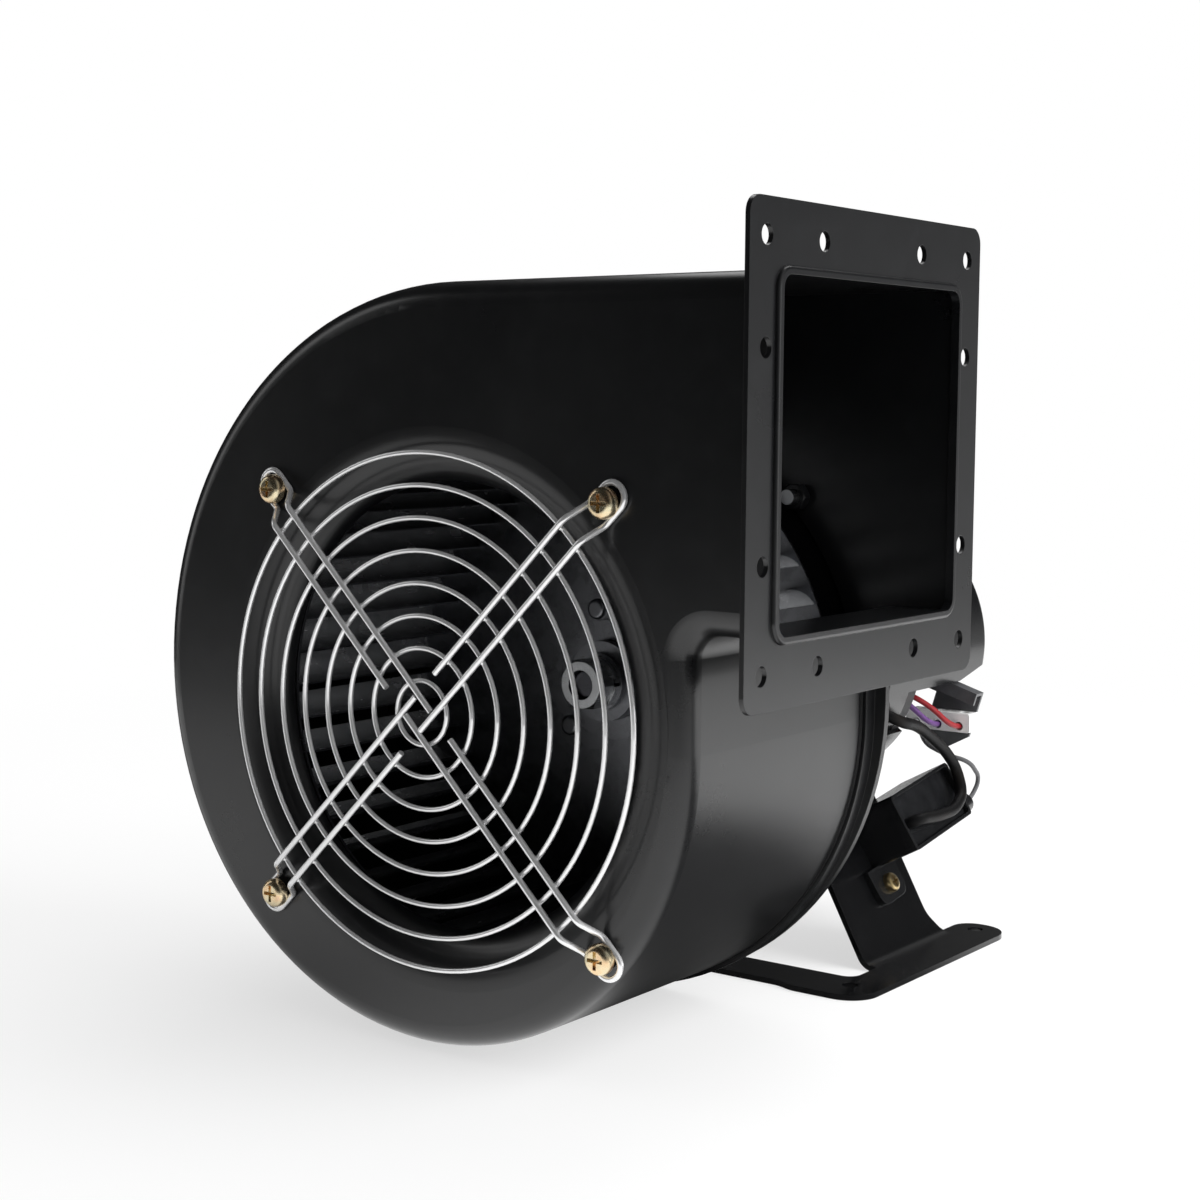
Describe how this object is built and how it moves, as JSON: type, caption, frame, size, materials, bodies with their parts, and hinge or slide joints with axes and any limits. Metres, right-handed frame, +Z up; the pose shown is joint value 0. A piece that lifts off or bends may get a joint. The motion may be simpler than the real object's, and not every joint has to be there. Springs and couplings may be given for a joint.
{
  "type": "centrifugal blower",
  "caption": "Forward-curved centrifugal blower: scroll housing with wire inlet guard and flanged square outlet, direct-drive motor, run capacitor and sheet-steel stand.",
  "frame": {"origin": "centre of the four base holes, on the underside of the stand", "axes": "+X out of the outlet, +Y from the inlet towards the motor, +Z up"},
  "size_m": [0.2517, 0.2931, 0.2607],
  "materials": {
    "black_paint": "semi-gloss black powder coat on sheet steel",
    "stand_paint": "semi-gloss black paint on bent sheet steel",
    "cast_black": "black painted die-cast aluminium",
    "chrome_wire": "bright plated steel wire",
    "yellow_zinc": "steel, yellow zinc plated",
    "wheel_sheet": "galvanised sheet steel, satin",
    "turned_steel": "turned steel, bright",
    "bearing_steel": "ground bearing steel",
    "core_steel": "stacked electrical steel, varnished",
    "cage_cast": "cast aluminium",
    "copper_coil": "enamelled copper winding, varnished",
    "capacitor_plastic": "dark moulded plastic",
    "resin": "dark cast resin",
    "brass_screw": "brass, polished",
    "black_rubber": "black rubber and sleeving",
    "grey_lead": "grey insulation",
    "red_lead": "red insulation",
    "violet_lead": "violet insulation",
    "white_lead": "white insulation",
    "white_nylon": "white nylon",
    "terminal_steel": "zinc plated steel"
  },
  "bodies": {
    "housing": {"front_shell": "black_paint", "rear_cover": "black_paint", "outlet_flange": "black_paint", "motor_plate": "black_paint", "motor_plate_nuts": "black_paint", "stand": "stand_paint", "wiring_hood": "stand_paint", "terminal_bracket": "stand_paint", "motor_shell": "stand_paint", "front_shield": "cast_black", "rear_shield": "cast_black", "guard_rings": "chrome_wire", "guard_arms": "chrome_wire", "guard_screws": "yellow_zinc", "shield_screws": "yellow_zinc", "saddle_screws": "yellow_zinc", "hood_screws": "yellow_zinc", "bracket_screw": "yellow_zinc", "tie_bolts": "yellow_zinc", "bearing_outer_rings": "bearing_steel", "wave_washer": "bearing_steel", "stator_core": "core_steel", "stator_windings": "copper_coil", "capacitor_case": "capacitor_plastic", "lead_boss": "capacitor_plastic", "capacitor_resin": "resin", "capacitor_screw": "brass_screw", "capacitor_nut": "brass_screw", "sleeve_grommet": "black_rubber", "capacitor_sleeve": "black_rubber", "capacitor_lead": "grey_lead", "lead_red": "red_lead", "lead_violet": "violet_lead", "lead_white": "white_lead", "terminal_block": "white_nylon", "terminal_screws": "terminal_steel", "motor_plate_screws": "terminal_steel"},
    "rotor": {"wheel_blades": "wheel_sheet", "wheel_backplate": "wheel_sheet", "wheel_front_ring": "wheel_sheet", "wheel_hub": "turned_steel", "hub_collar": "wheel_sheet", "hub_rivets": "turned_steel", "flat_washer": "turned_steel", "spring_washer": "turned_steel", "hub_nut": "turned_steel", "motor_shaft": "turned_steel", "rotor_core": "core_steel", "rotor_cage": "cage_cast", "bearing_inner_rings": "bearing_steel", "bearing_balls": "bearing_steel"}
  },
  "joints": [
    {"name": "wheel_spin", "type": "hinge", "parent": "housing", "child": "rotor", "pos_m": [0, -0.1395, 0.11], "axis": [0, 1, 0], "continuous": true}
  ]
}
